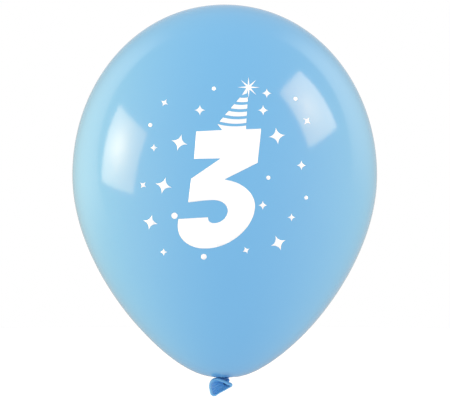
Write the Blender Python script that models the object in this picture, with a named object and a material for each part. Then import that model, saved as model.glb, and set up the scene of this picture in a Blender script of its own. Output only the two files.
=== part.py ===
"""Printed latex party balloon, blown up to a 30 cm width and tied at the neck.

Metres, +Z up. The origin is where the neck is tied, and the print faces -Y. The moulded skin is
split where it flexes: envelope, neck, knot, tail and rolled rim. Every separate patch of ink is a
node of its own.
"""

import math

import bmesh
import bpy
from mathutils import Matrix, Vector

# Envelope: two Bezier curves meet at the belt, where the skin is vertical
BELT_RADIUS = 0.1506
BELT_HEIGHT = 0.1992
CROWN_HEIGHT = 0.3677
CROWN_HANDLES = ((BELT_RADIUS, BELT_HEIGHT + 0.0913), (0.0872, CROWN_HEIGHT))
BASE_HANDLES = ((BELT_RADIUS, BELT_HEIGHT - 0.0986), (0.0534, 0.0004))
BASE_RADIUS = 0.0114
THROAT_RADIUS = 0.0039
THROAT_DEPTH = 0.0016
SKIN_WALL = 0.0001
SKIN_SEGMENTS = 40
SKIN_RINGS = 13

CLEARANCE = 0.0003

# Neck and knot
NECK_RADIUS = 0.0034
NECK_TOP = 0.0012
NECK_BOTTOM = -0.0007
KNOT_CENTRE = Vector((-0.0012, 0.0013, -0.0042))
KNOT_SIZE = Vector((0.0062, 0.0034, 0.0030))
WRAP_RING = Vector((0.0046, 0.0025))
WRAP_THICKNESS = 0.0012
WRAP_TILT = math.radians(14)
WRAP_SEGMENTS = 30
WRAP_SIDES = 10

# Tail: the mouth's outline is a belt round three circles, seen from the front and anticlockwise
TAIL_PIVOT = Vector((0.0002, -0.0028, -0.0064))
TAIL_ROOT_RADIUS = 0.0018
MOUTH_CIRCLES = (
    (Vector((-0.0079, -0.0088)), 0.00635),
    (Vector((-0.0101, -0.0147)), 0.0032),
    (Vector((0.0053, -0.0083)), 0.0013),
)
MOUTH_STEP = 0.0022
MOUTH_STEPS_LEAST = 3
MOUTH_PLANE = -0.0066
TAIL_WALL = 0.0005
TAIL_RINGS = 5
RIM_RADIUS = 0.0011
RIM_SIDES = 8
RIM_PLANE = MOUTH_PLANE - RIM_RADIUS - CLEARANCE

# Ink
INK_LIFT = CLEARANCE
INK_FILM = 0.00025
INK_GRID = 0.012
SPARKLE_WAIST = 0.123

# Party hat: fractions of the way down from its tip
HAT_TIP = Vector((0.0218, 0.2773))
HAT_BRIM_LEFT = Vector((-0.0061, 0.2435))
HAT_BRIM_RIGHT = Vector((0.0193, 0.2412))
HAT_SLANT = 0.014
HAT_FIRST_STRIPE = 0.275
HAT_STRIPE_PITCH = 0.182
HAT_STRIPE_WIDTH = 0.110
HAT_STRIPES = 4
HAT_SAG = 0.0014
HAT_TIP_LENGTH = 0.205
BURST_RAYS = 8
BURST_RAY_IN_HAT = 5
BURST_RADIUS = 0.0100
BURST_WAIST = 0.0022

# Sparkles: x, z, tip radius in millimetres, and turn in degrees
LARGE_SPARKLES = (
    (-41.0, 226.5, 7.7, -15), (47.5, 232.5, 7.8, 8), (-55.5, 187.5, 7.7, -14),
    (-68.0, 154.0, 7.1, -14), (49.0, 135.0, 7.4, 22),
)
SMALL_SPARKLES = (
    (-22.5, 256.0, 5.0, 0), (38.5, 272.0, 4.6, 0), (35.0, 256.0, 4.9, 0),
    (-64.5, 222.0, 3.6, 0), (70.0, 206.0, 4.6, 0), (34.5, 169.5, 4.1, 0),
    (61.0, 158.5, 3.7, 0), (-56.0, 126.5, 3.7, 0), (-55.0, 263.5, 3.8, -30),
    (75.5, 247.0, 4.2, -35), (-74.5, 188.0, 3.6, -38), (19.5, 128.5, 3.6, 25),
)
# Dots: x, z and radius in millimetres
DOTS = (
    (-9.8, 276.0, 1.9), (65.0, 267.5, 1.9), (-68.0, 243.0, 1.8), (39.5, 194.5, 1.9),
    (74.5, 176.5, 1.8), (-45.5, 160.0, 2.8), (-19.0, 122.5, 2.6),
)
DOT_SIDES = 16
MM = 0.001

LATEX_BLUE = (0.22, 0.51, 0.80)
GATHERED_BLUE = (0.08, 0.26, 0.58)
INK_WHITE = (0.95, 0.95, 0.95)


def clear_scene():
    for thing in list(bpy.data.objects):
        bpy.data.objects.remove(thing)


def material(name, colour, roughness):
    made = bpy.data.materials.new(name)
    made.use_nodes = True
    shader = made.node_tree.nodes["Principled BSDF"]
    shader.inputs["Base Color"].default_value = (*colour, 1.0)
    shader.inputs["Roughness"].default_value = roughness
    shader.inputs["Metallic"].default_value = 0.0
    return made


def finish(mesh, name, colour, roughness, parent=None):
    """Turn a bmesh, drawn in world places, into an object under its joint's empty."""
    data = bpy.data.meshes.new(name)
    mesh.to_mesh(data)
    mesh.free()
    if parent:
        data.transform(Matrix.Translation(-parent.matrix_world.translation))
    data.shade_smooth()
    data.materials.append(material(name, colour, roughness))
    made = bpy.data.objects.new(name, data)
    bpy.context.scene.collection.objects.link(made)
    made.parent = parent
    return made


def joint_empty(name, place, parent=None):
    made = bpy.data.objects.new(name, None)
    bpy.context.scene.collection.objects.link(made)
    made.empty_display_size = 0.01
    made.parent = parent
    made.location = place
    if parent:
        made.location -= parent.matrix_world.translation
    bpy.context.view_layer.update()
    return made


def solidify(thing, thickness, offset):
    shell = thing.modifiers.new("Wall", "SOLIDIFY")
    shell.thickness = thickness
    shell.offset = offset


def heading(angle):
    return Vector((math.cos(angle), math.sin(angle)))


def bezier(t, start, first, second, end):
    s = 1.0 - t
    weights = (s ** 3, 3 * s * s * t, 3 * s * t * t, t ** 3)
    points = (start, first, second, end)
    return [sum(w * p[i] for w, p in zip(weights, points)) for i in range(2)]


def crown_curve(t):
    return bezier(t, (BELT_RADIUS, BELT_HEIGHT), *CROWN_HANDLES, (0.0, CROWN_HEIGHT))


def base_curve(t):
    return bezier(t, (BELT_RADIUS, BELT_HEIGHT), *BASE_HANDLES, (BASE_RADIUS, 0.0))


def skin_radius(height):
    """Radius of the envelope at a height, found by halving along the right curve."""
    curve = crown_curve if height > BELT_HEIGHT else base_curve
    low = 0.0
    high = 1.0
    for _ in range(40):
        middle = (low + high) / 2
        short = abs(curve(middle)[1] - BELT_HEIGHT) < abs(height - BELT_HEIGHT)
        low, high = (middle, high) if short else (low, middle)
    return curve(low)[0]


def on_skin(x, z, lift):
    """The point of the envelope's front that shows at x and z, lifted along its normal."""
    step = 0.0005
    radius = skin_radius(z)
    slope = (skin_radius(z + step) - skin_radius(z - step)) / (2 * step)
    y = -math.sqrt(radius * radius - x * x)
    normal = Vector((x / radius, y / radius, -slope)).normalized()
    return Vector((x, y, z)) + normal * lift


def skin_profile():
    """Half section of the envelope's outside, from the crown to the throat's inner end."""
    crown = [crown_curve(1 - i / SKIN_RINGS) for i in range(SKIN_RINGS)]
    base = [base_curve(i / SKIN_RINGS) for i in range(SKIN_RINGS + 1)]
    throat = []
    for i in range(1, 5):
        angle = math.radians(90 * i / 4)
        radius = THROAT_RADIUS + (BASE_RADIUS - THROAT_RADIUS) * (1 - math.sin(angle))
        throat.append((radius, THROAT_DEPTH * (1 - math.cos(angle))))
    return crown + base + throat


def make_skin():
    mesh = bmesh.new()
    points = [mesh.verts.new((r, 0.0, z)) for r, z in skin_profile()]
    edges = [mesh.edges.new(pair) for pair in zip(points, points[1:])]
    bmesh.ops.spin(mesh, geom=points + edges, cent=(0, 0, 0), axis=(0, 0, 1),
                   angle=math.tau, steps=SKIN_SEGMENTS, use_merge=True)
    bmesh.ops.remove_doubles(mesh, verts=mesh.verts, dist=1e-6)
    bmesh.ops.recalc_face_normals(mesh, faces=mesh.faces)
    top = max(mesh.faces, key=lambda face: face.calc_center_median().z)
    if top.normal.z < 0:
        bmesh.ops.reverse_faces(mesh, faces=mesh.faces)
    skin = finish(mesh, "balloon_skin", LATEX_BLUE, 0.2)
    solidify(skin, SKIN_WALL, -1.0)


def make_neck(parent):
    """A short round plug that fills the throat and stops just above the knot."""
    mesh = bmesh.new()
    middle = (NECK_TOP + NECK_BOTTOM) / 2
    bmesh.ops.create_cone(mesh, cap_ends=True, segments=24, radius1=NECK_RADIUS,
                          radius2=NECK_RADIUS, depth=NECK_TOP - NECK_BOTTOM,
                          matrix=Matrix.Translation((0, 0, middle)))
    rims = [edge for edge in mesh.edges if abs(edge.verts[0].co.z - edge.verts[1].co.z) < 1e-6]
    bmesh.ops.bevel(mesh, geom=rims, offset=0.0004, affect="EDGES", segments=2,
                    profile=0.5, material=-1)
    finish(mesh, "neck", GATHERED_BLUE, 0.35, parent)


def close_rings(mesh, rings):
    """Join each ring of vertices to the next one with quads."""
    for front, back in zip(rings, rings[1:]):
        for i in range(len(front)):
            j = (i + 1) % len(front)
            mesh.faces.new((front[i], front[j], back[j], back[i]))


def make_wrap(parent):
    """The turn of neck round the knot's core: an oval ring, tilted, used only to shape the knot."""
    mesh = bmesh.new()
    rings = []
    for i in range(WRAP_SEGMENTS):
        outward = heading(math.tau * i / WRAP_SEGMENTS)
        centre = Vector((outward.x * WRAP_RING.x, outward.y * WRAP_RING.y, 0.0))
        ring = []
        for side in range(WRAP_SIDES):
            turn = heading(math.tau * side / WRAP_SIDES)
            offset = Vector((outward.x * turn.x, outward.y * turn.x, turn.y))
            ring.append(mesh.verts.new(centre + offset * WRAP_THICKNESS))
        rings.append(ring)
    close_rings(mesh, rings + rings[:1])
    tilt = Matrix.Translation(KNOT_CENTRE) @ Matrix.Rotation(WRAP_TILT, 4, "Y")
    bmesh.ops.transform(mesh, matrix=tilt, verts=mesh.verts)
    bmesh.ops.recalc_face_normals(mesh, faces=mesh.faces)
    wrap = finish(mesh, "knot_wrap_guide", GATHERED_BLUE, 0.35, parent)
    wrap.hide_render = True
    wrap.display_type = "WIRE"
    return wrap


def make_knot(parent):
    """A flattened core with the turn of neck that is wrapped round it."""
    mesh = bmesh.new()
    place = Matrix.Translation(KNOT_CENTRE) @ Matrix.Diagonal((*KNOT_SIZE, 1.0))
    bmesh.ops.create_uvsphere(mesh, u_segments=24, v_segments=14, radius=1.0, matrix=place)
    knot = finish(mesh, "knot", GATHERED_BLUE, 0.35, parent)
    join = knot.modifiers.new("Wrap", "BOOLEAN")
    join.operation = "UNION"
    join.solver = "EXACT"
    join.object = make_wrap(parent)
    weld = knot.modifiers.new("Weld", "WELD")
    weld.merge_threshold = 0.00005


def tangent_angle(this, following):
    """Direction of the outward normal where a belt leaves one circle for the next."""
    span = following[0] - this[0]
    return math.atan2(span.y, span.x) - math.acos((this[1] - following[1]) / span.length)


def mouth_outline():
    """Points round the belt over the mouth's circles, as x and z, each with its outward normal."""
    points = []
    for i, (centre, radius) in enumerate(MOUTH_CIRCLES):
        following = MOUTH_CIRCLES[(i + 1) % len(MOUTH_CIRCLES)]
        start = tangent_angle(MOUTH_CIRCLES[i - 1], (centre, radius))
        sweep = (tangent_angle((centre, radius), following) - start) % math.tau
        steps = max(math.ceil(sweep * radius / MOUTH_STEP), MOUTH_STEPS_LEAST)
        for k in range(steps + 1):
            outward = heading(start + sweep * k / steps)
            points.append((centre + radius * outward, outward))
        last = points[-1][0]
        meeting = following[0] + following[1] * outward
        steps = math.ceil((meeting - last).length / MOUTH_STEP)
        points += [(last.lerp(meeting, k / steps), outward) for k in range(1, steps)]
    return points


def cup_side(mesh, inset):
    """Rings of one side of the cup, from the mouth's outline back to a small round root."""
    pivot = Vector((TAIL_PIVOT.x, TAIL_PIVOT.z))
    outline = mouth_outline()
    middle = sum((point for point, outward in outline), Vector((0.0, 0.0))) / len(outline)
    depth = TAIL_PIVOT.y - inset - MOUTH_PLANE
    rings = []
    for step in range(TAIL_RINGS):
        quarter = math.pi / 2 * step / (TAIL_RINGS - 1)
        ring = []
        for point, outward in outline:
            root = pivot + (TAIL_ROOT_RADIUS - inset) * (point - middle).normalized()
            place = root.lerp(point - inset * outward, math.cos(quarter))
            ring.append(mesh.verts.new((place.x, MOUTH_PLANE + depth * math.sin(quarter), place.y)))
        rings.append(ring)
    return rings


def make_tail(parent):
    """An open cup: its inner side from root to mouth, then its outer side back to the root."""
    mesh = bmesh.new()
    rings = cup_side(mesh, TAIL_WALL)[::-1] + cup_side(mesh, 0.0)
    close_rings(mesh, rings)
    mesh.faces.new(rings[0])
    mesh.faces.new(rings[-1])
    bmesh.ops.recalc_face_normals(mesh, faces=mesh.faces)
    finish(mesh, "tail", GATHERED_BLUE, 0.3, parent)


def make_rim(parent):
    """The rolled bead: a closed tube along the mouth's outline, just in front of the cup."""
    mesh = bmesh.new()
    rings = []
    for point, outward in mouth_outline():
        ring = []
        for side in range(RIM_SIDES):
            turn = heading(math.tau * side / RIM_SIDES)
            place = point + outward * turn.x * RIM_RADIUS
            ring.append(mesh.verts.new((place.x, RIM_PLANE + turn.y * RIM_RADIUS, place.y)))
        rings.append(ring)
    close_rings(mesh, rings + rings[:1])
    bmesh.ops.recalc_face_normals(mesh, faces=mesh.faces)
    finish(mesh, "rolled_rim", LATEX_BLUE, 0.3, parent)


def cut_in_grid(mesh):
    """Cut a flat patch along a square grid, so that it can follow the curved skin."""
    for axis in (Vector((1, 0, 0)), Vector((0, 0, 1))):
        places = [vertex.co.dot(axis) for vertex in mesh.verts]
        first = math.floor(min(places) / INK_GRID) + 1
        last = math.ceil(max(places) / INK_GRID)
        for line in range(first, last):
            everything = mesh.verts[:] + mesh.edges[:] + mesh.faces[:]
            bmesh.ops.bisect_plane(mesh, geom=everything, dist=1e-6,
                                   plane_co=axis * line * INK_GRID, plane_no=axis)


def make_ink(name, outline, wide=False):
    """Lay a flat outline on the front of the skin as a thin film. Wide ones are cut to bend."""
    mesh = bmesh.new()
    patch = mesh.faces.new([mesh.verts.new((x, 0.0, z)) for x, z in outline])
    patch.normal_update()
    if patch.normal.y > 0:
        patch.normal_flip()
    if wide:
        cut_in_grid(mesh)
    bmesh.ops.triangulate(mesh, faces=mesh.faces)
    for vertex in mesh.verts:
        vertex.co = on_skin(vertex.co.x, vertex.co.z, INK_LIFT)
    film = finish(mesh, name, INK_WHITE, 0.4)
    solidify(film, INK_FILM, 1.0)


def curve_points(start, first, second, end, count):
    """Points along a Bezier curve after its start, given in millimetres."""
    return [bezier(i / count, start, first, second, end) for i in range(1, count + 1)]


def hat_edge(share, across):
    """A point on the hat: share of the way down from the tip, and across from left to right."""
    left = HAT_TIP.lerp(HAT_BRIM_LEFT, share + HAT_SLANT)
    right = HAT_TIP.lerp(HAT_BRIM_RIGHT, share - HAT_SLANT)
    point = left.lerp(right, across)
    point.y -= HAT_SAG * share * 4 * across * (1 - across)
    return point


def numeral_outline():
    """Numeral three with the hat's brim on its top edge, clockwise from its top left corner."""
    notch = (-0.3, 192.7)
    bowl_right = (27.4, 168.9)
    bowl_bottom = (-18.0, 130.1)
    lower_left = (-41.8, 157.0)
    hook = (-15.1, 158.6)
    counter_bottom = (-9.7, 153.3)
    counter_right = (2.8, 164.6)
    counter_top = (-10.3, 174.3)
    middle_left = (-33.0, 172.2)
    points = [(-25.7, 236.4), (-2.2, 237.6)]
    points += [hat_edge(1.0, i / 4) / MM for i in range(5)]
    points += [(19.3, 238.4), (33.1, 239.0), (29.7, 207.9), notch]
    points += curve_points(notch, (14.5, 191.1), (27.4, 181.5), bowl_right, 8)
    points += curve_points(bowl_right, (27.4, 150.6), (6.2, 130.1), bowl_bottom, 10)
    points += curve_points(bowl_bottom, (-34.2, 130.0), (-45.9, 140.7), lower_left, 7)
    points += [hook]
    points += curve_points(hook, (-15.1, 156.1), (-13.9, 153.3), counter_bottom, 3)
    points += curve_points(counter_bottom, (-3.0, 153.3), (2.8, 158.6), counter_right, 5)
    points += curve_points(counter_right, (2.8, 170.1), (-2.4, 174.3), counter_top, 5)
    points += curve_points(counter_top, (-16.9, 174.3), (-21.7, 173.4), middle_left, 3)
    points += [(-30.3, 193.5), (-3.6, 211.8), (-27.6, 211.5)]
    return [(x * MM, z * MM) for x, z in points]


def stripe_outline(number):
    top = HAT_FIRST_STRIPE + HAT_STRIPE_PITCH * number
    bottom = top + HAT_STRIPE_WIDTH
    spans = [i / 4 for i in range(5)]
    upper = [hat_edge(top, across) for across in spans]
    lower = [hat_edge(bottom, across) for across in reversed(spans)]
    return upper + lower


def hat_tip_outline():
    """A burst of rays, one of which is widened into the hat's tip."""
    step = math.tau / BURST_RAYS
    points = []
    for ray in range(BURST_RAYS):
        if ray == BURST_RAY_IN_HAT:
            points += [hat_edge(HAT_TIP_LENGTH, 0.0), hat_edge(HAT_TIP_LENGTH * 0.8, 0.7)]
            continue
        points.append(HAT_TIP + BURST_RADIUS * heading(step * ray))
        points.append(HAT_TIP + BURST_WAIST * heading(step * (ray + 0.5)))
    return points


def sparkle_outline(x, z, radius, turn):
    """Four points joined by curves that sag towards the centre."""
    waist = SPARKLE_WAIST * radius
    quarter = [(radius * (1 - t) ** 2 + 2 * waist * t * (1 - t),
                radius * t * t + 2 * waist * t * (1 - t)) for t in (0.0, 0.15, 0.33, 0.5, 0.67, 0.85)]
    points = []
    for i in range(4):
        spin = Matrix.Rotation(math.radians(turn + 90 * i), 2)
        points += [spin @ Vector(point) for point in quarter]
    return [(Vector((x, z)) + point) * MM for point in points]


def dot_outline(x, z, radius):
    centre = Vector((x, z))
    return [(centre + radius * heading(math.tau * i / DOT_SIDES)) * MM for i in range(DOT_SIDES)]


def make_print():
    make_ink("printed_numeral", numeral_outline(), wide=True)
    for number in range(HAT_STRIPES):
        make_ink(f"hat_stripe_{number + 1}", stripe_outline(number), wide=True)
    make_ink("hat_tip_star", hat_tip_outline())
    for number, sizes in enumerate(LARGE_SPARKLES, 1):
        make_ink(f"sparkle_large_{number}", sparkle_outline(*sizes))
    for number, sizes in enumerate(SMALL_SPARKLES, 1):
        make_ink(f"sparkle_small_{number}", sparkle_outline(*sizes))
    for number, sizes in enumerate(DOTS, 1):
        make_ink(f"dot_{number}", dot_outline(*sizes))


clear_scene()
make_skin()
neck_twist = joint_empty("neck_twist_axis", Vector((0.0, 0.0, 0.0)))
make_neck(neck_twist)
make_knot(neck_twist)
tail_droop = joint_empty("tail_droop_axis", TAIL_PIVOT, neck_twist)
make_tail(tail_droop)
make_rim(tail_droop)
make_print()
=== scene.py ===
import math

import bmesh
import bpy
import numpy as np
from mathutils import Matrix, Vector, geometry, noise


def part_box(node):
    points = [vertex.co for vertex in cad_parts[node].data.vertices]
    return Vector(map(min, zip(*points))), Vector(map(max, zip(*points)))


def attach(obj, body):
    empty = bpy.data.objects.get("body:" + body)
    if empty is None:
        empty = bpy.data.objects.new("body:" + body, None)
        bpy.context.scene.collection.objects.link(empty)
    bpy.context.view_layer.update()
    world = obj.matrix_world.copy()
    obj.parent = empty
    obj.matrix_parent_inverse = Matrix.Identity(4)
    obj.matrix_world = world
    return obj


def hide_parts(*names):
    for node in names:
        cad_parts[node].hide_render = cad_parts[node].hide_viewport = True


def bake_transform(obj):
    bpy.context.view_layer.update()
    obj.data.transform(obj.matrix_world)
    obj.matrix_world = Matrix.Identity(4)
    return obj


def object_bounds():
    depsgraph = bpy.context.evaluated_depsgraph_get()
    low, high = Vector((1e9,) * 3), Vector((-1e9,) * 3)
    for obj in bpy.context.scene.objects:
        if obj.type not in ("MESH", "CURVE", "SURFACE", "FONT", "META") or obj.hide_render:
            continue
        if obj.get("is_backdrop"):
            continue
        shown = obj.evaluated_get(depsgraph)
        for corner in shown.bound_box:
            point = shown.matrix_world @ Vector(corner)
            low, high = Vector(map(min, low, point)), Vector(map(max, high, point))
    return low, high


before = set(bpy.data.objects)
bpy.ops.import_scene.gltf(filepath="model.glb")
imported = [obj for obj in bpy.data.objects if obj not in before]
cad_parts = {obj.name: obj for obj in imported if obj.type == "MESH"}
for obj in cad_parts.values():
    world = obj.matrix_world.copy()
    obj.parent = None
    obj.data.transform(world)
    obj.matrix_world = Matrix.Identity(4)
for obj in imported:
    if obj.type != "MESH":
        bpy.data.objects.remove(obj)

cad_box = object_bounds()


# ---------------------------------------------------------------------------------------------------
# The inflated skin. A drop-shaped film of sky-blue natural rubber latex, dipped, cured and blown up to
# 30 cm across, when it is about 0.01 mm thick. Where it is stretched less, in the pleats round its
# neck and at a spot at its crown, it is thicker and so deeper in colour. A darker streak that runs
# up its front from the neck is painted shade.

skin_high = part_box("balloon_skin")[1]
BELT_RADIUS = skin_high.x
CROWN_HEIGHT = skin_high.z
BELT_HEIGHT = 0.1992
BELT_HANDLE_UP = 0.0913       # handles of the two curves that meet at the belt
BELT_HANDLE_DOWN = 0.0986
CROWN_HANDLE = 0.0872
BASE_HANDLE = (0.0534, 0.0004)
BASE_RADIUS = 0.0114          # where the drop turns in, flat, towards the throat
THROAT_RADIUS = 0.0039
THROAT_DEPTH = 0.0016
SKIN_WALL = 0.0001            # ten times the real film, as in the solid
SKIN_SEGMENTS = 240
PLEATS = 24
PLEAT_DEPTH = 0.00042
PLEAT_REACH = 0.030           # how far from the neck's axis the pleats run out
LEAN = 0.0006                 # how far the skin just above the neck leans towards -x


def bezier(t, points):
    start, first, second, end = (np.array(p) for p in points)
    t = np.asarray(t)[..., None]
    return start * (1 - t) ** 3 + 3 * first * t * (1 - t) ** 2 + 3 * second * t**2 * (1 - t) + end * t**3


def smooth_step(low, high, value):
    share = min(max((value - low) / (high - low), 0.0), 1.0)
    return share * share * (3 - 2 * share)


belt = (BELT_RADIUS, BELT_HEIGHT)
base_side = bezier(
    np.linspace(0, 1, 90),
    (belt, (BELT_RADIUS, BELT_HEIGHT - BELT_HANDLE_DOWN), BASE_HANDLE, (BASE_RADIUS, 0.0)),
)
crown_side = bezier(
    np.linspace(0, 1, 80),
    (belt, (BELT_RADIUS, BELT_HEIGHT + BELT_HANDLE_UP), (CROWN_HANDLE, CROWN_HEIGHT), (0.0, CROWN_HEIGHT)),
)
throat = [
    (
        THROAT_RADIUS + (BASE_RADIUS - THROAT_RADIUS) * (1 - math.sin(angle)),
        THROAT_DEPTH * (1 - math.cos(angle)),
    )
    for angle in np.linspace(math.pi / 2, 0, 12)
]
skin_profile = np.vstack([throat, base_side[::-1][1:], crown_side[1:]])
side_profile = np.vstack([base_side[::-1], crown_side[1:]])


def skin_radius(height):
    return float(np.interp(height, side_profile[:, 1], side_profile[:, 0]))


def new_object(name, bm, material, smooth=True):
    mesh = bpy.data.meshes.new(name)
    bm.to_mesh(mesh)
    bm.free()
    mesh.materials.append(material)
    for polygon in mesh.polygons:
        polygon.use_smooth = smooth
    piece = bpy.data.objects.new(name, mesh)
    bpy.context.scene.collection.objects.link(piece)
    return piece


def thicken(piece, wall, offset):
    """Gives a bare surface its film: inwards with an offset of -1, outwards with an offset of 1."""
    film = piece.modifiers.new("film thickness", "SOLIDIFY")
    film.thickness = wall
    film.offset = offset


def node(tree, kind, inputs=(), **settings):
    """A shader node with its settings, and with its inputs set to a value or linked to a socket."""
    made = tree.nodes.new(kind)
    for key, value in settings.items():
        setattr(made, key, value)
    for key, value in dict(inputs).items():
        if isinstance(value, bpy.types.NodeSocket):
            tree.links.new(value, made.inputs[key])
        else:
            made.inputs[key].default_value = value
    return made


def arithmetic(tree, operation, *values):
    return node(tree, "ShaderNodeMath", enumerate(values), operation=operation).outputs[0]


def ramp(tree, value, low, high, to_low=0.0, to_high=1.0):
    """Goes smoothly from to_low, at the value low, to to_high."""
    made = node(
        tree,
        "ShaderNodeMapRange",
        {"Value": value, "From Min": low, "From Max": high, "To Min": to_low, "To Max": to_high},
        interpolation_type="SMOOTHSTEP",
    )
    return made.outputs["Result"]


def distance(tree, place, spot):
    return node(tree, "ShaderNodeVectorMath", {0: place, 1: spot}, operation="DISTANCE").outputs["Value"]


def mixed(tree, share, first, second):
    """A colour that goes from first to second."""
    return node(tree, "ShaderNodeMix", {0: share, 6: first, 7: second}, data_type="RGBA").outputs[2]


def mottle(tree, place, scale, detail, roughness=0.5):
    return node(
        tree,
        "ShaderNodeTexNoise",
        {"Vector": place, "Scale": scale, "Detail": detail, "Roughness": roughness},
    ).outputs["Fac"]


def latex_film_group():
    """Cured latex: its colour mixed from thin to darker by a share that carries the film's thickness, painted
    shade and a random mottle, with a faint cloudiness and a fine dusty grain.
    """
    group = bpy.data.node_groups.new("latex film", "ShaderNodeTree")
    for name, kind, direction in (
        ("Thin Colour", "NodeSocketColor", "INPUT"),
        ("Darker Colour", "NodeSocketColor", "INPUT"),
        ("Thickness", "NodeSocketFloat", "INPUT"),
        ("Cloudiness", "NodeSocketFloat", "INPUT"),
        ("Gloss Roughness", "NodeSocketFloat", "INPUT"),
        ("Color", "NodeSocketColor", "OUTPUT"),
        ("Roughness", "NodeSocketFloat", "OUTPUT"),
        ("Height", "NodeSocketFloat", "OUTPUT"),
    ):
        group.interface.new_socket(name, in_out=direction, socket_type=kind)
    given = group.nodes.new("NodeGroupInput").outputs
    result = group.nodes.new("NodeGroupOutput")
    place = node(group, "ShaderNodeTexCoord").outputs["Object"]
    clouds = mottle(group, place, 16.0, 3.0, 0.55)
    grain = mottle(group, place, 1400.0, 2.0, 0.6)
    drift = arithmetic(group, "MULTIPLY", arithmetic(group, "SUBTRACT", clouds, 0.5), given["Cloudiness"])
    share = arithmetic(group, "ADD", given["Thickness"], drift)
    share = node(group, "ShaderNodeClamp", {"Value": share}).outputs[0]
    colour = mixed(group, share, given["Thin Colour"], given["Darker Colour"])
    dust = arithmetic(group, "SUBTRACT", grain, 0.5)
    rough = arithmetic(group, "MULTIPLY_ADD", dust, 0.06, given["Gloss Roughness"])
    group.links.new(colour, result.inputs["Color"])
    group.links.new(rough, result.inputs["Roughness"])
    group.links.new(grain, result.inputs["Height"])
    return group


latex_film = latex_film_group()
SKY_BLUE = (0.172, 0.452, 0.745, 1.0)
# the colour of the thick film, and also of the painted shade in the streak up the skin's front
DEEP_BLUE = (0.030, 0.165, 0.500, 1.0)
LATEX_IOR = 1.5
LATEX_SPECULAR_TINT = (1.0, 0.57, 0.11, 1.0)   # so that a reflection reads as near white over the blue


def latex_material(name, thin, darker, cloudiness, roughness, grain, thickness):
    """thickness is given the tree, and puts out the share of the darker colour, for unstretched film, painted
    shade and a random mottle.
    """
    material = bpy.data.materials.new(name)
    material.use_nodes = True
    tree = material.node_tree
    surface = tree.nodes["Principled BSDF"]
    film = node(tree, "ShaderNodeGroup", node_tree=latex_film)
    for key, value in (
        ("Thin Colour", thin),
        ("Darker Colour", darker),
        ("Cloudiness", cloudiness),
        ("Gloss Roughness", roughness),
    ):
        film.inputs[key].default_value = value
    tree.links.new(thickness(tree), film.inputs["Thickness"])
    tree.links.new(film.outputs["Color"], surface.inputs["Base Color"])
    tree.links.new(film.outputs["Roughness"], surface.inputs["Roughness"])
    height = film.outputs["Height"]
    bump = node(tree, "ShaderNodeBump", {"Strength": 1.0, "Distance": grain, "Height": height})
    tree.links.new(bump.outputs["Normal"], surface.inputs["Normal"])
    surface.inputs["IOR"].default_value = LATEX_IOR
    surface.inputs["Specular Tint"].default_value = LATEX_SPECULAR_TINT
    return material


def skin_thickness_and_shade(tree):
    """The film's thickness round the neck and at the crown, and painted shade in a streak up the front from
    the neck.
    """
    place = node(tree, "ShaderNodeTexCoord").outputs["Object"]
    at_neck = ramp(tree, distance(tree, place, (-0.002, -0.004, 0.0)), 0.0080, 0.0210, 0.80, 0.0)
    at_crown = ramp(tree, distance(tree, place, (0, 0, CROWN_HEIGHT)), 0.004, 0.020, 0.16, 0.0)
    axes = node(tree, "ShaderNodeSeparateXYZ", {0: place}).outputs
    beside = arithmetic(tree, "ABSOLUTE", arithmetic(tree, "ADD", axes["X"], 0.0030))
    along = node(tree, "ShaderNodeMapping", {"Vector": place, "Scale": (1.0, 0.06, 0.12)}).outputs[0]
    # painted shade: a streak up the front from the neck, on the -y side only, mottled along its length
    fold = ramp(tree, beside, 0.0045, 0.0135, 1.0, 0.0)
    for share in (
        ramp(tree, axes["Z"], 0.0012, 0.0095, 0.60, 0.0),
        ramp(tree, axes["Y"], -0.02, 0.0, 1.0, 0.0),
        ramp(tree, mottle(tree, along, 420.0, 2.0), 0.30, 0.60, 0.45, 1.0),
    ):
        fold = arithmetic(tree, "MULTIPLY", fold, share)
    return arithmetic(tree, "MAXIMUM", arithmetic(tree, "MAXIMUM", at_neck, fold), at_crown)


bm = bmesh.new()
rings = [bm.verts.new((radius, 0, height)) for radius, height in skin_profile]
spine = [bm.edges.new(pair) for pair in zip(rings, rings[1:])]
bmesh.ops.spin(
    bm,
    geom=rings + spine,
    cent=(0, 0, 0),
    axis=(0, 0, 1),
    angle=math.tau,
    steps=SKIN_SEGMENTS,
    use_merge=True,
)
bmesh.ops.remove_doubles(bm, verts=bm.verts[:], dist=1e-6)
bmesh.ops.recalc_face_normals(bm, faces=bm.faces[:])
bm.normal_update()
for vertex in bm.verts:
    spot = vertex.co.copy()
    out = math.hypot(spot.x, spot.y)
    turn = math.atan2(spot.y, spot.x)
    if spot.z < BELT_HEIGHT:
        wander = noise.noise(Vector((2.2 * math.cos(turn), 2.2 * math.sin(turn), 3.1)))
        long_pleats = math.cos(PLEATS * 0.5 * turn + 1.3 + 2.0 * wander)
        short_pleats = math.cos(PLEATS * turn + 4.0 * wander)
        near = 1 - smooth_step(THROAT_RADIUS * 1.2, PLEAT_REACH * 0.5, out)
        wide = 1 - smooth_step(THROAT_RADIUS, PLEAT_REACH * (1.0 + 0.35 * wander), out)
        ripple = 0.6 * near * short_pleats + 0.4 * wide * long_pleats
        ripple *= smooth_step(THROAT_RADIUS * 0.9, THROAT_RADIUS * 1.8, out)
        vertex.co += vertex.normal * PLEAT_DEPTH * (ripple - 0.9 * near)
        vertex.co.x -= LEAN * smooth_step(0.008, 0.030, out) * (1 - smooth_step(0.015, 0.045, spot.z))
skin = new_object(
    "skin",
    bm,
    latex_material(
        "sky-blue latex",
        thin=SKY_BLUE,
        darker=DEEP_BLUE,
        cloudiness=0.05,
        roughness=0.12,
        grain=0.000002,
        thickness=skin_thickness_and_shade,
    ),
)
thicken(skin, SKIN_WALL, -1.0)
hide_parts("balloon_skin")
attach(skin, "envelope")


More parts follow.
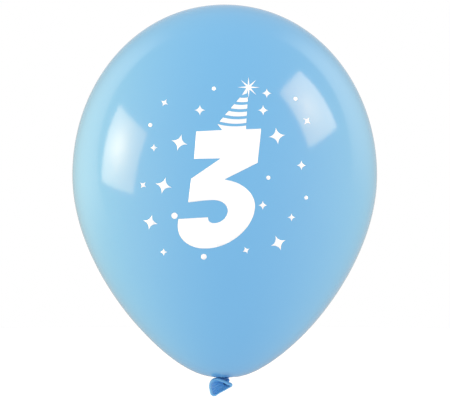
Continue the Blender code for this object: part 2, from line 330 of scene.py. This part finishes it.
# ---------------------------------------------------------------------------------------------------
# The print. White rubber ink, screen printed in one pass on the part-inflated balloon, so that it
# stretches with the film: a numeral with a party hat on its corner, among sparkles and dots. Each
# patch of ink that touches no other one is its own film, less than a tenth of a millimetre proud.

INK_FILM = 0.00007
INK_LIFT = 0.00002            # a gap under the film, so that it doesn't sink into the skin's facets
INK_GRID = 0.004              # a patch is cut into squares of this size before it is bent round the skin
INK_WHITE = (0.97, 0.97, 0.97, 1)
INK_THIN_WHITE = (0.86, 0.92, 0.97, 1)
MM = 0.001


def ink_material():
    material = bpy.data.materials.new("white screen ink")
    material.use_nodes = True
    tree = material.node_tree
    surface = tree.nodes["Principled BSDF"]
    place = node(tree, "ShaderNodeTexCoord").outputs["Object"]
    speckle = mottle(tree, place, 700.0, 3.0)
    thin = ramp(tree, speckle, 0.62, 0.80)
    colour = mixed(tree, thin, INK_WHITE, INK_THIN_WHITE)
    mesh_marks = node(
        tree, "ShaderNodeTexWave", {"Vector": place, "Scale": 900.0, "Distortion": 1.5}, bands_direction="Z"
    ).outputs["Fac"]
    rough = arithmetic(tree, "MULTIPLY_ADD", speckle, 0.18, 0.26)
    relief = arithmetic(tree, "MULTIPLY_ADD", mesh_marks, 0.4, speckle)
    bump = node(tree, "ShaderNodeBump", {"Strength": 0.6, "Distance": 0.00001, "Height": relief})
    tree.links.new(colour, surface.inputs["Base Color"])
    tree.links.new(rough, surface.inputs["Roughness"])
    tree.links.new(bump.outputs["Normal"], surface.inputs["Normal"])
    surface.inputs["IOR"].default_value = 1.45
    return material


white_ink = ink_material()


def heading(angle):
    return Vector((math.cos(angle), math.sin(angle)))


def curve_points(start, first, second, end, steps):
    """Points along a curve of the outline, without its two ends."""
    return [Vector(p) for p in bezier(np.linspace(0, 1, steps + 1)[1:-1], (start, first, second, end))]


def print_film(name, outline):
    """A patch of ink with this outline in x and z, in metres, pressed on the front of the skin."""
    bm = bmesh.new()
    patch = bm.faces.new([bm.verts.new((x, 0, z)) for x, z in outline])
    patch.normal_update()
    if patch.normal.y > 0:
        patch.normal_flip()
    for axis in (Vector((1, 0, 0)), Vector((0, 0, 1))):
        places = [v.co @ axis for v in bm.verts]
        first = math.ceil(min(places) / INK_GRID)
        for line in range(first, math.ceil(max(places) / INK_GRID)):
            bmesh.ops.bisect_plane(
                bm,
                geom=bm.verts[:] + bm.edges[:] + bm.faces[:],
                plane_co=axis * line * INK_GRID,
                plane_no=axis,
            )
    bmesh.ops.triangulate(bm, faces=[f for f in bm.faces if len(f.verts) > 4])
    for vertex in bm.verts:
        radius = skin_radius(vertex.co.z)
        slope = (skin_radius(vertex.co.z + MM) - skin_radius(vertex.co.z - MM)) / (2 * MM)
        front = -math.sqrt(radius**2 - vertex.co.x**2)
        normal = Vector((vertex.co.x / radius, front / radius, -slope)).normalized()
        vertex.co = Vector((vertex.co.x, front, vertex.co.z)) + normal * INK_LIFT
    film = new_object(name, bm, white_ink)
    thicken(film, INK_FILM, 1.0)
    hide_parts(name)
    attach(film, "envelope")


# The hat leans on the numeral's top edge: a tall cone of four bands, its brim one with the numeral.
HAT_TIP = Vector((0.0218, 0.2773))
HAT_BRIM_LEFT = Vector((-0.0061, 0.2435))
HAT_BRIM_RIGHT = Vector((0.0193, 0.2412))
HAT_SLANT = 0.014
HAT_FIRST_STRIPE = 0.275      # the bands' places and widths are shares of the hat's length from its tip
HAT_STRIPE_PITCH = 0.182
HAT_STRIPE_WIDTH = 0.110
HAT_STRIPES = 4
HAT_SAG = 0.0014              # how far the brim's edge curves down in its middle
HAT_TIP_LENGTH = 0.205


def hat_edge(share, across):
    """A point share of the way from the hat's tip to its brim, and across from its left side to its right."""
    left = HAT_TIP.lerp(HAT_BRIM_LEFT, share + HAT_SLANT)
    right = HAT_TIP.lerp(HAT_BRIM_RIGHT, share - HAT_SLANT)
    point = left.lerp(right, across)
    point.y -= HAT_SAG * share * 4 * across * (1 - across)
    return point


def numeral_outline():
    """The numeral with the hat's brim in its top edge, clockwise from its top left corner."""
    notch = (-0.3, 192.7)
    bowl_right = (27.4, 168.9)
    bowl_bottom = (-18.0, 130.1)
    lower_left = (-41.8, 157.0)
    hook = (-15.1, 158.6)
    counter_bottom = (-9.7, 153.3)
    counter_right = (2.8, 164.6)
    counter_top = (-10.3, 174.3)
    middle_left = (-33.0, 172.2)
    points = [(-25.7, 236.4), (-2.2, 237.6)]
    points += [hat_edge(1.0, i / 12) / MM for i in range(13)]
    points += [(19.3, 238.4), (33.1, 239.0), (29.7, 207.9), notch]
    points += curve_points(notch, (14.5, 191.1), (27.4, 181.5), bowl_right, 20) + [bowl_right]
    points += curve_points(bowl_right, (27.4, 150.6), (6.2, 130.1), bowl_bottom, 26) + [bowl_bottom]
    points += curve_points(bowl_bottom, (-34.2, 130.0), (-45.9, 140.7), lower_left, 18) + [lower_left, hook]
    points += curve_points(hook, (-15.1, 156.1), (-13.9, 153.3), counter_bottom, 8) + [counter_bottom]
    points += curve_points(counter_bottom, (-3.0, 153.3), (2.8, 158.6), counter_right, 12) + [counter_right]
    points += curve_points(counter_right, (2.8, 170.1), (-2.4, 174.3), counter_top, 12) + [counter_top]
    points += curve_points(counter_top, (-16.9, 174.3), (-21.7, 173.4), middle_left, 8) + [middle_left]
    points += [(-30.3, 193.5), (-3.6, 211.8), (-27.6, 211.5)]
    return [Vector(p) * MM for p in points]


print_film("printed_numeral", numeral_outline())
for number in range(HAT_STRIPES):
    top = HAT_FIRST_STRIPE + HAT_STRIPE_PITCH * number
    upper = [hat_edge(top, i / 10) for i in range(11)]
    lower = [hat_edge(top + HAT_STRIPE_WIDTH, i / 10) for i in range(10, -1, -1)]
    print_film(f"hat_stripe_{number + 1}", upper + lower)

# The burst at the hat's tip has eight thin rays, and the lower left one widens into the tip itself.
BURST_RAYS = 8
BURST_RAY_IN_HAT = 5
BURST_RADIUS = 0.0100
BURST_WAIST = 0.0022
burst = []
for ray in range(BURST_RAYS):
    if ray == BURST_RAY_IN_HAT:
        burst += [hat_edge(HAT_TIP_LENGTH, 0.0), hat_edge(HAT_TIP_LENGTH * 0.8, 0.7)]
    else:
        burst.append(HAT_TIP + BURST_RADIUS * heading(math.tau * ray / BURST_RAYS))
    burst.append(HAT_TIP + BURST_WAIST * heading(math.tau * (ray + 0.5) / BURST_RAYS))
print_film("hat_tip_star", burst)

# Four-pointed sparkles in two sizes and round dots: x, z and tip radius in millimetres, and the turn.
LARGE_SPARKLES = (
    (-41.0, 226.5, 7.7, -15), (47.5, 232.5, 7.8, 8), (-55.5, 187.5, 7.7, -14),
    (-68.0, 154.0, 7.1, -14), (49.0, 135.0, 7.4, 22),
)
SMALL_SPARKLES = (
    (-22.5, 256.0, 5.0, 0), (38.5, 272.0, 4.6, 0), (35.0, 256.0, 4.9, 0),
    (-64.5, 222.0, 3.6, 0), (70.0, 206.0, 4.6, 0), (34.5, 169.5, 4.1, 0),
    (61.0, 158.5, 3.7, 0), (-56.0, 126.5, 3.7, 0), (-55.0, 263.5, 3.8, -30),
    (75.5, 247.0, 4.2, -35), (-74.5, 188.0, 3.6, -38), (19.5, 128.5, 3.6, 25),
)
DOTS = (
    (-9.8, 276.0, 1.9), (65.0, 267.5, 1.9), (-68.0, 243.0, 1.8), (39.5, 194.5, 1.9),
    (74.5, 176.5, 1.8), (-45.5, 160.0, 2.8), (-19.0, 122.5, 2.6),
)
SPARKLE_WAIST = 0.123
DOT_SIDES = 40


def sparkle_outline(x, z, radius, turn, steps=12):
    """Four concave sides between four points."""
    points = []
    for quarter in range(4):
        angle = math.radians(turn) + quarter * math.pi / 2
        for i in range(steps):
            t = i / steps
            bend = 2 * SPARKLE_WAIST * t * (1 - t)
            along, across = (1 - t) ** 2 + bend, t * t + bend
            points.append(radius * (along * heading(angle) + across * heading(angle + math.pi / 2)))
    return [(Vector((x, z)) + p) * MM for p in points]


for size, sparkles in (("large", LARGE_SPARKLES), ("small", SMALL_SPARKLES)):
    for number, sparkle in enumerate(sparkles, 1):
        print_film(f"sparkle_{size}_{number}", sparkle_outline(*sparkle))
for number, (x, z, radius) in enumerate(DOTS, 1):
    edge = [Vector((x, z)) + radius * heading(math.tau * i / DOT_SIDES) for i in range(DOT_SIDES)]
    print_film(f"dot_{number}", [place * MM for place in edge])


# ---------------------------------------------------------------------------------------------------
# The neck. The balloon's unstretched neck, gathered into deep pleats and pulled tight under the
# throat, where the pleats stand out as a collar, wider on the side that the tail lies over to. Its
# film is at its full dipped thickness there, so it is the darkest blue of all.

neck_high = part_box("neck")[1]
NECK_RADIUS = neck_high.x
NECK_FOLDS = 16
NECK_RINGS = 34
NECK_FOOT = -0.0030           # inside the knot
NECK_TOP = neck_high.z + 0.0008
NECK_FOLD_DEPTH = 0.07
WAIST_HEIGHT = -0.0006
WAIST_REACH = 0.0009
WAIST_DEPTH = 0.16
COLLAR_HEIGHT = -0.0012
COLLAR_THICKNESS = 0.0006
COLLAR_RADIUS = 0.0068
COLLAR_LEAN = 0.0022
COLLAR_FOLD_DEPTH = 0.06
THROAT_GRIP = 1.10            # the top is this much wider than the throat, so that no gap opens there


def fold_attribute(bm):
    return bm.verts.layers.float.new("fold")


def fold_shade_and_mottle(deepest):
    """The share of the darker colour, from the piece's own fold attribute: painted shade where the attribute
    marks valleys and creases, a random mottle where it holds noise.
    """
    def mask(tree):
        fold = node(tree, "ShaderNodeAttribute", attribute_name="fold").outputs["Fac"]
        return arithmetic(tree, "MULTIPLY", fold, deepest)
    return mask


bm = bmesh.new()
ring = bmesh.ops.create_circle(bm, radius=NECK_RADIUS, segments=NECK_FOLDS * 8)["verts"]
bmesh.ops.translate(bm, verts=ring, vec=(0, 0, NECK_FOOT))
loop = bm.edges[:]
heights = np.linspace(NECK_FOOT, NECK_TOP, NECK_RINGS)
for step in np.diff(heights):
    made = bmesh.ops.extrude_edge_only(bm, edges=loop)["geom"]
    loop = [g for g in made if isinstance(g, bmesh.types.BMEdge)]
    raised = [g for g in made if isinstance(g, bmesh.types.BMVert)]
    bmesh.ops.translate(bm, verts=raised, vec=(0, 0, step))
fold = fold_attribute(bm)
for vertex in bm.verts:
    turn = math.atan2(vertex.co.y, vertex.co.x)
    waist = 1 - WAIST_DEPTH * math.exp(-((vertex.co.z - WAIST_HEIGHT) / WAIST_REACH) ** 2)
    wave = math.cos(NECK_FOLDS * turn + 0.9 * math.sin(3 * turn) + vertex.co.z * 500)
    # painted shade: the pleats' valleys get the darker colour
    vertex[fold] = 0.5 - 0.5 * wave
    collar = math.exp(-abs((vertex.co.z - COLLAR_HEIGHT) / COLLAR_THICKNESS) ** 3)
    collar_radius = COLLAR_RADIUS - COLLAR_LEAN * math.cos(turn)
    collar_share = collar * (1 - COLLAR_FOLD_DEPTH + COLLAR_FOLD_DEPTH * wave)
    scale = waist * (1 - NECK_FOLD_DEPTH + NECK_FOLD_DEPTH * wave)
    scale += (collar_radius / NECK_RADIUS - 1) * collar_share
    at_throat = smooth_step(0.0004, 0.0014, vertex.co.z)
    scale += (THROAT_RADIUS * THROAT_GRIP / NECK_RADIUS - scale) * at_throat
    vertex.co.x *= scale
    vertex.co.y *= scale
bmesh.ops.holes_fill(bm, edges=[e for e in bm.edges if e.is_boundary], sides=0)
bmesh.ops.recalc_face_normals(bm, faces=bm.faces[:])
neck = new_object(
    "neck_gather",
    bm,
    latex_material(
        "gathered latex",
        thin=(0.050, 0.28, 0.68, 1),
        # the darker colour is painted shade in the pleats' valleys
        darker=(0.018, 0.13, 0.44, 1),
        cloudiness=0.2,
        roughness=0.40,
        grain=0.00002,
        thickness=fold_shade_and_mottle(1.0),
    ),
)
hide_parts("neck")
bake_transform(neck)


# ---------------------------------------------------------------------------------------------------
# The knot. The neck tied in an overhand knot by hand: one strand of rolled-up latex that crosses over
# itself three times and is pulled flat, with creases along the strand where the film is bunched.

knot_low, knot_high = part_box("knot")
KNOT_STRAND = 0.00155         # the strand's radius
KNOT_CREASES = 7
KNOT_CREASE_DEPTH = 0.10
KNOT_STEPS = 180
knot_centre = (knot_low + knot_high) / 2
knot_half = (knot_high - knot_low) / 2 - Vector((1, 1, 1)) * KNOT_STRAND


def knot_point(t):
    """An overhand knot's strand: twice round the neck while it goes three times over and under."""
    reach = 0.66 + 0.34 * math.cos(3 * t)
    x = knot_half.x * reach * math.cos(2 * t)
    y = knot_half.y * reach * math.sin(2 * t)
    z = knot_half.z * math.sin(3 * t)
    return knot_centre + Vector((x, y, z))


bm = bmesh.new()
fold = fold_attribute(bm)
strand_rings = []
for step in range(KNOT_STEPS):
    t = math.tau * step / KNOT_STEPS
    ahead = (knot_point(t + 0.01) - knot_point(t - 0.01)).normalized()
    middle = knot_centre - knot_point(t)
    across = ahead.cross(middle).normalized()
    up = across.cross(ahead)
    ring = bmesh.ops.create_circle(bm, radius=KNOT_STRAND, segments=KNOT_CREASES * 6)["verts"]
    swell = 1 + 0.10 * noise.noise(Vector((math.cos(t), math.sin(t), 0.4)) * 3)
    for i, vertex in enumerate(ring):
        turn = math.tau * i / len(ring)
        wave = math.cos(KNOT_CREASES * turn + 3 * t)
        # painted shade: the creases' valleys get the darker colour
        vertex[fold] = 0.5 - 0.5 * wave
        radius = KNOT_STRAND * swell * (1 - KNOT_CREASE_DEPTH + KNOT_CREASE_DEPTH * wave)
        vertex.co = knot_point(t) + radius * (math.cos(turn) * across + math.sin(turn) * up)
    strand_rings.append(ring)
for ring, following in zip(strand_rings, strand_rings[1:] + strand_rings[:1]):
    edges = [
        e for verts in (ring, following) for i, v in enumerate(verts)
        for e in v.link_edges if e.other_vert(v) is verts[(i + 1) % len(verts)]
    ]
    bmesh.ops.bridge_loops(bm, edges=edges)
bmesh.ops.recalc_face_normals(bm, faces=bm.faces[:])
knot = new_object(
    "overhand_knot",
    bm,
    latex_material(
        "knotted latex",
        thin=(0.060, 0.40, 0.90, 1),
        # the darker colour is painted shade in the creases
        darker=(0.030, 0.23, 0.68, 1),
        cloudiness=0.2,
        roughness=0.24,
        grain=0.00002,
        thickness=fold_shade_and_mottle(0.8),
    ),
)
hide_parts("knot")
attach(knot, "neck_knot")


# ---------------------------------------------------------------------------------------------------
# The tail. The free end of the neck past the knot, the balloon's mouth, where it was blown up. It
# flares into a shallow cup that lies over towards -x, thick-walled, slack and wrinkled, with one
# deep crease where it is folded under its upper edge. The crease is painted with the darker colour, as shade.

TAIL_PIVOT = Vector((0.0002, -0.0028, -0.0064))
TAIL_ROOT_RADIUS = 0.0018
MOUTH_CIRCLES = (              # centre in x and z, and radius
    (Vector((-0.0079, -0.0088)), 0.00635),
    (Vector((-0.0101, -0.0147)), 0.0032),
    (Vector((0.0053, -0.0083)), 0.0013),
)
RIM_PLANE = -0.0080           # the rolled rim lies in the plane at this y
TAIL_WALL = 0.0004
TAIL_RINGS = 32
TAIL_STALK = 0.125            # the share of the rings that go straight forward out of the knot
TAIL_STALK_LENGTH = 0.0016
TAIL_SIDES = 180
TAIL_FLARE = 1.7
ROOT_NARROWING = 0.30
ROOT_GATHER = 0.07
TAIL_WRINKLES = 15
WRINKLE_WANDER = 2.5
WRINKLE_SHIFT = 0.00018
WRINKLE_DEPTH = 0.00035
# the crease is pushed back into the cup and painted with the darker colour, as shade
CREASE = (Vector((-0.0010, -0.0072)), Vector((0.0036, -0.0094)))
CREASE_WIDTH = 0.0006


def tangent_angle(this, following):
    span = following[0] - this[0]
    return math.atan2(span.y, span.x) - math.acos((this[1] - following[1]) / span.length)


def mouth_outline(step=math.radians(4)):
    """A belt round the circles, anticlockwise, as points in x and z."""
    points = []
    for i, (centre, radius) in enumerate(MOUTH_CIRCLES):
        following = MOUTH_CIRCLES[(i + 1) % len(MOUTH_CIRCLES)]
        start = tangent_angle(MOUTH_CIRCLES[i - 1], (centre, radius))
        sweep = (tangent_angle((centre, radius), following) - start) % math.tau
        steps = math.ceil(sweep / step)
        points += [centre + radius * heading(start + sweep * k / steps) for k in range(steps + 1)]
    return points


def even_points(points, count):
    """count points spaced evenly along a closed outline."""
    closed = np.array([tuple(p) for p in points + points[:1]])
    along = np.concatenate([[0], np.cumsum(np.linalg.norm(np.diff(closed, axis=0), axis=1))])
    places = np.linspace(0, along[-1], count, endpoint=False)
    across = np.interp(places, along, closed[:, 0])
    upright = np.interp(places, along, closed[:, 1])
    return [Vector(pair) for pair in zip(across, upright)]


mouth = even_points(mouth_outline(), TAIL_SIDES)
mouth_centre = MOUTH_CIRCLES[0][0]
bm = bmesh.new()
fold = fold_attribute(bm)
ring = bmesh.ops.create_circle(bm, radius=TAIL_ROOT_RADIUS, segments=TAIL_SIDES)["verts"]
loop = bm.edges[:]
rows = [ring]
for _ in range(TAIL_RINGS):
    made = bmesh.ops.extrude_edge_only(bm, edges=loop)["geom"]
    loop = [g for g in made if isinstance(g, bmesh.types.BMEdge)]
    rows.append([next(e.other_vert(v) for e in v.link_edges if e.other_vert(v) in made) for v in rows[-1]])
for row, verts in enumerate(rows):
    share = row / TAIL_RINGS
    in_stalk = max(0.0, 1 - share / TAIL_STALK)
    spread = max(0.0, (share - TAIL_STALK) / (1 - TAIL_STALK))
    flare = 1 - (1 - spread) ** TAIL_FLARE
    slack = math.sin(math.pi * spread**0.8) ** 0.8 if 0 < spread < 1 else 0.0
    depth = TAIL_PIVOT.y + (RIM_PLANE - TAIL_PIVOT.y) * spread**0.8
    depth += TAIL_STALK_LENGTH * in_stalk
    for i, vertex in enumerate(verts):
        edge = mouth[i]
        start = math.atan2(edge.y - mouth_centre.y, edge.x - mouth_centre.x)
        gathered = 1 + ROOT_GATHER * math.cos(TAIL_WRINKLES * start) * (1 - share)
        root_radius = TAIL_ROOT_RADIUS * (1 - ROOT_NARROWING * in_stalk) * gathered
        root = Vector((TAIL_PIVOT.x, TAIL_PIVOT.z)) + root_radius * heading(start)
        spot = root.lerp(edge, flare)
        turn = math.tau * i / TAIL_SIDES
        wander = noise.noise(Vector((3 * math.cos(turn), 3 * math.sin(turn), 2.5 * share)))
        wave = math.cos(TAIL_WRINKLES * turn + WRINKLE_WANDER * wander)
        along = geometry.intersect_point_line(spot, *CREASE)[1]
        away = (spot - CREASE[0].lerp(CREASE[1], min(max(along, 0.0), 1.0))).length
        crease = math.exp(-((away / CREASE_WIDTH) ** 2))
        # painted shade: the crease gets the darker colour in full, and the wrinkles add a faint darker tone
        # in step with their waves
        vertex[fold] = max((0.5 - 0.5 * wave) * slack * 0.25, crease)
        inward = mouth_centre - spot
        inward = inward.normalized() if inward.length > 1e-6 else Vector((0, 0))
        spot = spot + inward * WRINKLE_SHIFT * wave * slack
        vertex.co = Vector((spot.x, depth + WRINKLE_DEPTH * (wave + crease) * slack, spot.y))
root_edge = [e for e in bm.edges if e.is_boundary and e.verts[0] in ring]
bmesh.ops.holes_fill(bm, edges=root_edge, sides=0)
bmesh.ops.recalc_face_normals(bm, faces=bm.faces[:])
if min(bm.faces, key=lambda f: f.calc_center_median().x).normal.x > 0:
    bmesh.ops.reverse_faces(bm, faces=bm.faces[:])
tail = new_object(
    "tail_cup",
    bm,
    latex_material(
        "slack latex",
        thin=(0.110, 0.39, 0.80, 1),
        # the darker colour is painted shade in the crease, and a faint tone along the wrinkles
        darker=(0.030, 0.14, 0.38, 1),
        cloudiness=0.12,
        roughness=0.26,
        grain=0.00002,
        thickness=fold_shade_and_mottle(1.0),
    ),
)
thicken(tail, TAIL_WALL, -1.0)
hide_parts("tail")
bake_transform(tail)


# ---------------------------------------------------------------------------------------------------
# The rolled rim. Before curing, the film's edge is rolled down the former into a bead, which keeps the
# mouth from tearing. It is fat and pale at the mouth's top and -x side and drawn thin along its foot.

RIM_POINTS = 96
BEAD_RADIUS = 0.001           # the shares below multiply it
BEAD_THINNEST = 0.55
BEAD_MORE_LEFT = 0.80
BEAD_MORE_TOP = 0.95
BEAD_MORE_LOBE = 0.25         # at the pointed end of the mouth
BEAD_LIFT = 0.0005
BEAD_RIPPLE = 0.00004
rim_path = even_points(mouth_outline(), RIM_POINTS)
curve = bpy.data.curves.new("rim path", "CURVE")
curve.dimensions = "3D"
curve.bevel_depth = BEAD_RADIUS
curve.bevel_resolution = 6
spline = curve.splines.new("NURBS")
spline.points.add(RIM_POINTS - 1)
spline.use_cyclic_u = True
spline.order_u = 4
for point, place in zip(spline.points, rim_path):
    left = smooth_step(-0.005, -0.0135, place.x)
    top = smooth_step(-0.0105, -0.0055, place.y)
    lobe = smooth_step(0.001, 0.006, place.x) * smooth_step(-0.0095, -0.0080, place.y)
    lift = BEAD_LIFT * top * smooth_step(0.004, -0.002, place.x)
    point.co = (place.x, RIM_PLANE, place.y + lift, 1)
    point.radius = BEAD_THINNEST + max(BEAD_MORE_LEFT * left, BEAD_MORE_TOP * top) + BEAD_MORE_LOBE * lobe
path_object = bpy.data.objects.new("rim path", curve)
bpy.context.scene.collection.objects.link(path_object)
bpy.context.view_layer.update()
rolled = bpy.data.meshes.new_from_object(path_object.evaluated_get(bpy.context.evaluated_depsgraph_get()))
bpy.data.objects.remove(path_object)
bm = bmesh.new()
bm.from_mesh(rolled)
bmesh.ops.remove_doubles(bm, verts=bm.verts[:], dist=1e-6)
bmesh.ops.recalc_face_normals(bm, faces=bm.faces[:])
bm.normal_update()
fold = fold_attribute(bm)
for vertex in bm.verts:
    wave = noise.noise(vertex.co * 900)
    vertex[fold] = 0.5 + 0.5 * wave
    vertex.co += vertex.normal * BEAD_RIPPLE * wave
rim = new_object(
    "rolled_bead",
    bm,
    latex_material(
        "rolled latex",
        thin=(0.170, 0.47, 0.81, 1),
        darker=(0.090, 0.33, 0.68, 1),
        cloudiness=0.15,
        roughness=0.24,
        grain=0.00001,
        thickness=fold_shade_and_mottle(0.7),
    ),
)
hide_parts("rolled_rim")
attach(rim, "tail_end")


# ---------------------------------------------------------------------------------------------------
# The studio. A white sweep with a floor that only the camera sees, lit from all round, a large softbox
# high on the left and a fainter one on the upper right, and a long lens at mid height.

FLOOR_DROP = 0.60
FLOOR_RADIUS = 9.0
SOFTBOX_FALLOFF = 2.5

floor_material = bpy.data.materials.new("pale floor")
floor_material.use_nodes = True
tree = floor_material.node_tree
surface = tree.nodes["Principled BSDF"]
surface.inputs["Base Color"].default_value = (0.95, 0.95, 0.95, 1)
surface.inputs["Roughness"].default_value = 0.9
surface.inputs["Specular IOR Level"].default_value = 0.0
see_through = node(tree, "ShaderNodeBsdfTransparent").outputs[0]
underside = node(tree, "ShaderNodeNewGeometry").outputs["Backfacing"]
sides = node(tree, "ShaderNodeMixShader", {0: underside, 1: surface.outputs[0], 2: see_through})
tree.links.new(sides.outputs[0], tree.nodes["Material Output"].inputs["Surface"])
bm = bmesh.new()
bmesh.ops.create_circle(bm, cap_ends=True, radius=FLOOR_RADIUS, segments=96)
bmesh.ops.translate(bm, verts=bm.verts[:], vec=(0, 0, -FLOOR_DROP))
floor = new_object("pale_floor", bm, floor_material, smooth=False)
floor.visible_diffuse = False
floor.visible_glossy = False
floor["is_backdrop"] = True


def softbox(name, corners, hottest, reach, edge, middle):
    """A panel seen only as a reflection. Its glow falls from middle, at the place hottest, to edge."""
    material = bpy.data.materials.new(name)
    material.use_nodes = True
    tree = material.node_tree
    tree.nodes.clear()
    place = node(tree, "ShaderNodeTexCoord").outputs["Object"]
    away = distance(tree, place, hottest)
    near = node(tree, "ShaderNodeMapRange", {0: away, 1: 0.0, 2: reach, 3: 1.0, 4: 0.0}).outputs[0]
    peak = arithmetic(tree, "POWER", near, SOFTBOX_FALLOFF)
    strength = arithmetic(tree, "MULTIPLY_ADD", peak, middle - edge, edge)
    light = node(tree, "ShaderNodeEmission", {"Color": (1, 1, 1, 1), "Strength": strength})
    output = node(tree, "ShaderNodeOutputMaterial")
    tree.links.new(light.outputs[0], output.inputs["Surface"])
    bm = bmesh.new()
    bm.faces.new([bm.verts.new(corner) for corner in corners])
    panel = new_object(name, bm, material, smooth=False)
    panel.visible_camera = False
    panel.visible_diffuse = False
    panel.visible_shadow = False
    panel.visible_transmission = False
    panel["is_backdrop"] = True


softbox(
    "left softbox",
    ((-1.39, 0.18, 0.97), (-1.31, -0.79, 0.76), (-1.49, -0.58, -0.10), (-1.57, 0.24, 0.13)),
    hottest=(-1.50, -0.19, 0.53),
    reach=0.62,
    edge=4.8,
    middle=15.0,
)
softbox(
    "right softbox",
    ((1.06, 0.02, 1.41), (1.51, 0.13, 0.73), (1.41, -0.72, 0.56), (0.93, -0.73, 1.33)),
    hottest=(1.26, -0.38, 1.03),
    reach=0.55,
    edge=5.8,
    middle=11.0,
)

world = bpy.data.worlds.new("white studio")
bpy.context.scene.world = world
world.use_nodes = True
tree = world.node_tree
tree.nodes.clear()
direction = node(tree, "ShaderNodeTexCoord").outputs["Generated"]
axes = node(tree, "ShaderNodeSeparateXYZ", {0: direction}).outputs
sideways = arithmetic(tree, "ABSOLUTE", axes["X"])
edge_of_sweep = arithmetic(tree, "MULTIPLY", axes["Z"], 0.27)
edge_of_sweep = arithmetic(tree, "MULTIPLY_ADD", sideways, 0.34, edge_of_sweep)
sweep = ramp(tree, arithmetic(tree, "SUBTRACT", axes["Y"], edge_of_sweep), -0.02, 0.02)

# What the latex mirrors: a sweep that is bright at both sides, and dim in front, far behind and low.
left_side = ramp(tree, axes["X"], -0.3, 0.3, 0.85, 0.0)
right_side = ramp(tree, axes["X"], -0.3, 0.3)
right_side = arithmetic(tree, "MULTIPLY", right_side, ramp(tree, axes["Z"], -0.25, 0.55))
both_sides = arithmetic(tree, "ADD", left_side, right_side)
far = ramp(tree, axes["Y"], 0.45, 0.97, 1.0, 0.2)
off_centre = ramp(tree, sideways, 0.30, 0.65)
low = ramp(tree, axes["Z"], -0.45, 0.0)
bright = sweep
for share in (both_sides, far, off_centre, low):
    bright = arithmetic(tree, "MULTIPLY", bright, share)
reflected = arithmetic(tree, "ADD", bright, ramp(tree, axes["Y"], 0.80, 1.0, 0.48, 0.65))

# What lights it. The walls at both sides are nearer and warmer than the ceiling, the left one brighter.
lit = (0.325, 0.762, 1.105)
for colour, share in (
    ((3.72, 1.79, 0.29), arithmetic(tree, "MULTIPLY", axes["X"], axes["X"])),
    ((-0.31, -0.19, -0.05), axes["X"]),
    ((0.02, 0.04, 0.03), axes["Z"]),
):
    part = node(tree, "ShaderNodeVectorMath", {0: colour, 3: share}, operation="SCALE").outputs[0]
    lit = node(tree, "ShaderNodeVectorMath", {0: part, 1: lit}, operation="ADD").outputs[0]
kind = node(tree, "ShaderNodeLightPath").outputs
glossy = mixed(tree, kind["Is Glossy Ray"], lit, reflected)
seen = mixed(tree, kind["Is Camera Ray"], glossy, (1, 1, 1, 1))
background = node(tree, "ShaderNodeBackground", {"Color": seen, "Strength": 1.0})
output = node(tree, "ShaderNodeOutputWorld")
tree.links.new(background.outputs[0], output.inputs["Surface"])

camera_data = bpy.data.cameras.new("long lens")
camera_data.lens = 135.0
camera_data.sensor_width = 36.0
camera = bpy.data.objects.new("long lens", camera_data)
camera.location = (0.0003, -1.674, 0.1684)
camera.rotation_euler = (math.pi / 2, 0, 0)
bpy.context.scene.collection.objects.link(camera)
bpy.context.scene.camera = camera
bpy.context.scene.view_settings.view_transform = "Standard"

size = {"cad": [list(corner) for corner in cad_box], "visual": [list(corner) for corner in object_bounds()]}
